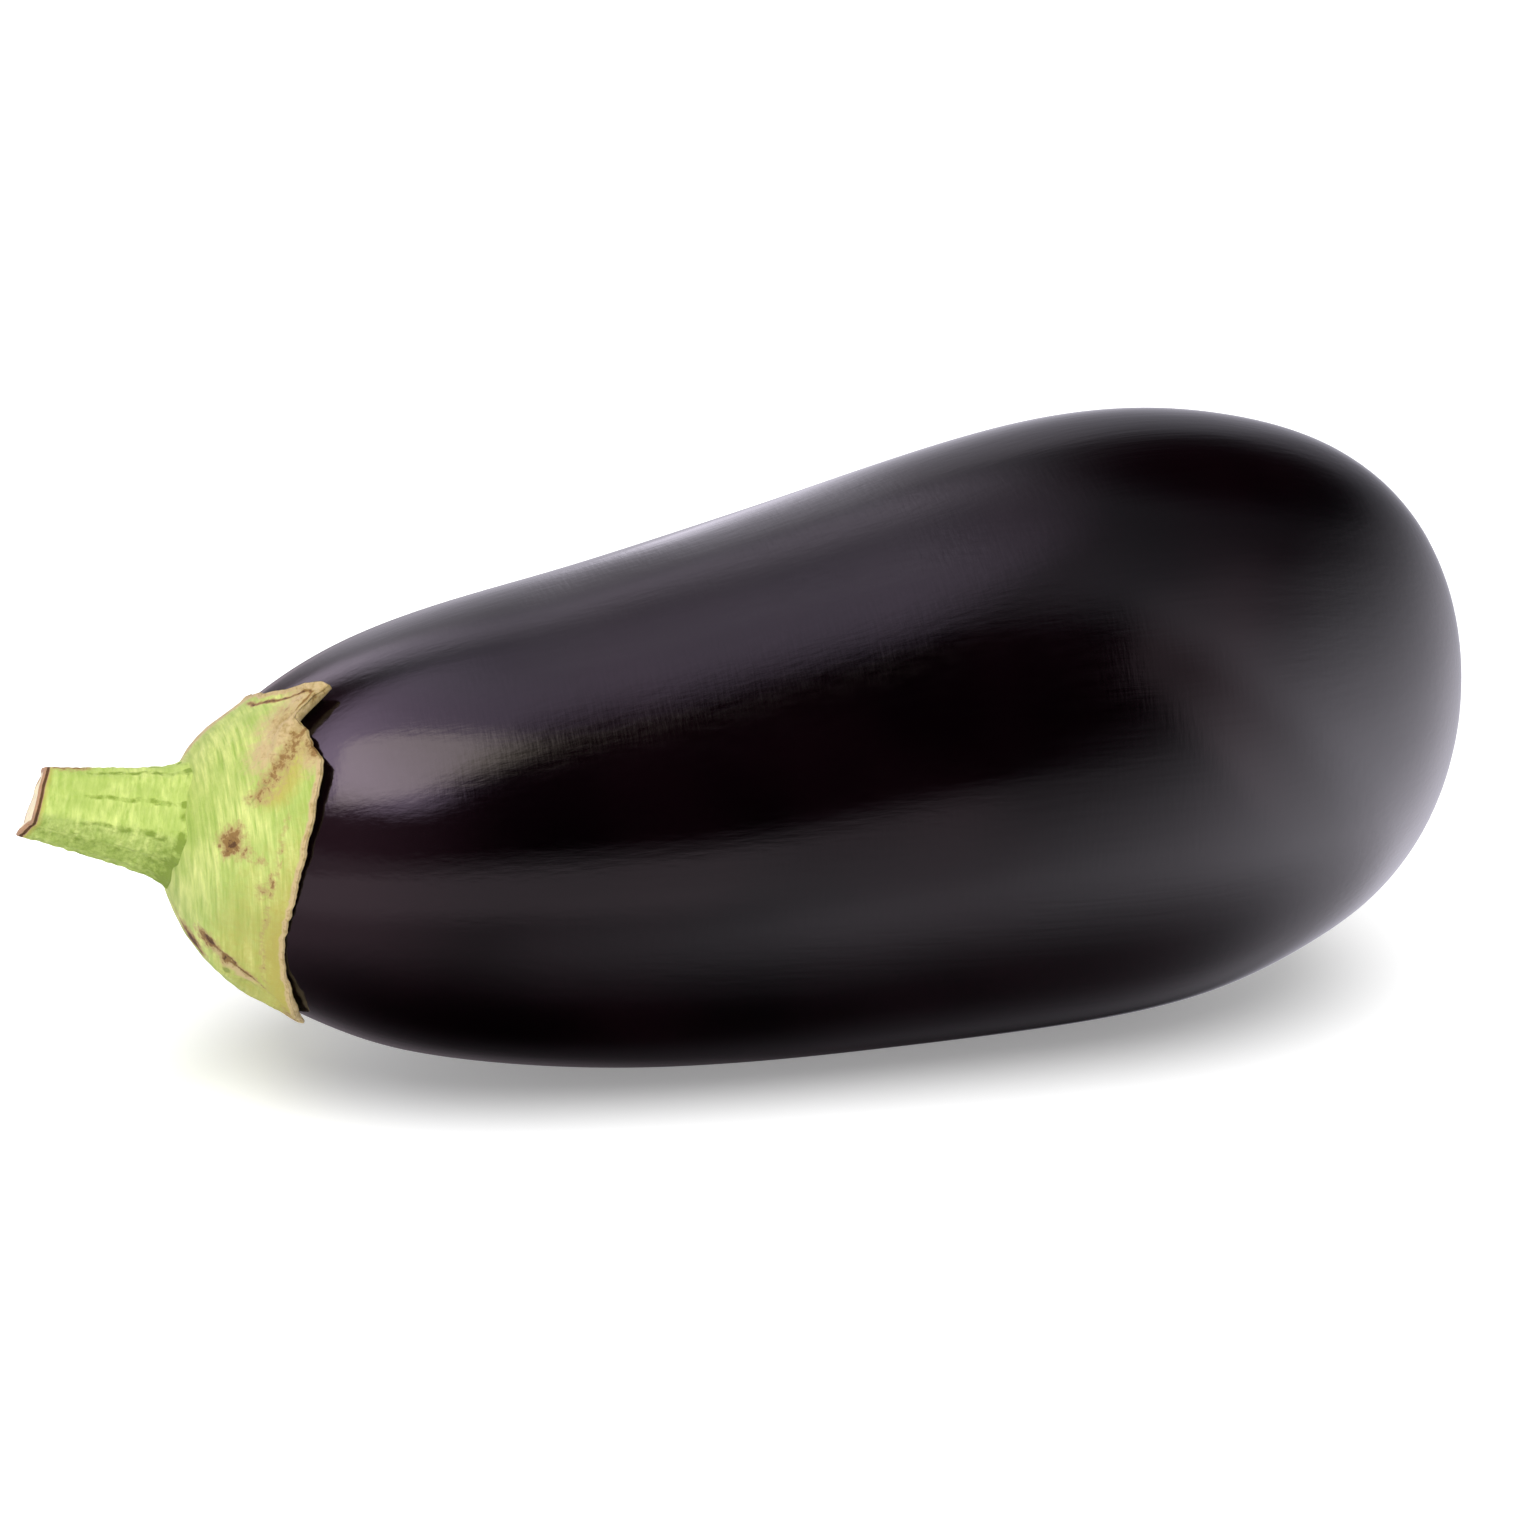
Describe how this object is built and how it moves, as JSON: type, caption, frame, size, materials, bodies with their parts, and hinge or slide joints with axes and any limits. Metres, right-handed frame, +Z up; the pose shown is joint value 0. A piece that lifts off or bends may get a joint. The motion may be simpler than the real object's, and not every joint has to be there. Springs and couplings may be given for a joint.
{
  "type": "eggplant",
  "caption": "Pear-shaped dark purple eggplant lying on its side, with a green cap of pointed sepals over its shoulder and a short, obliquely cut stalk.",
  "frame": {"origin": "bottom centre of the whole eggplant's bounding box, on the surface it lies on", "axes": "+X from the stalk to the blossom end, +Y to the side away from the picture's camera, +Z up"},
  "size_m": [0.2368, 0.0992, 0.1013],
  "materials": {
    "skin": "glossy near-black purple vegetable skin",
    "sepal": "matte leathery light green with pale rim and brown scars",
    "stem": "matte ribbed light green with a dry brown cut rim"
  },
  "bodies": {
    "root": {"fruit": "skin", "calyx": "sepal", "stalk": "stem"}
  },
  "joints": []
}
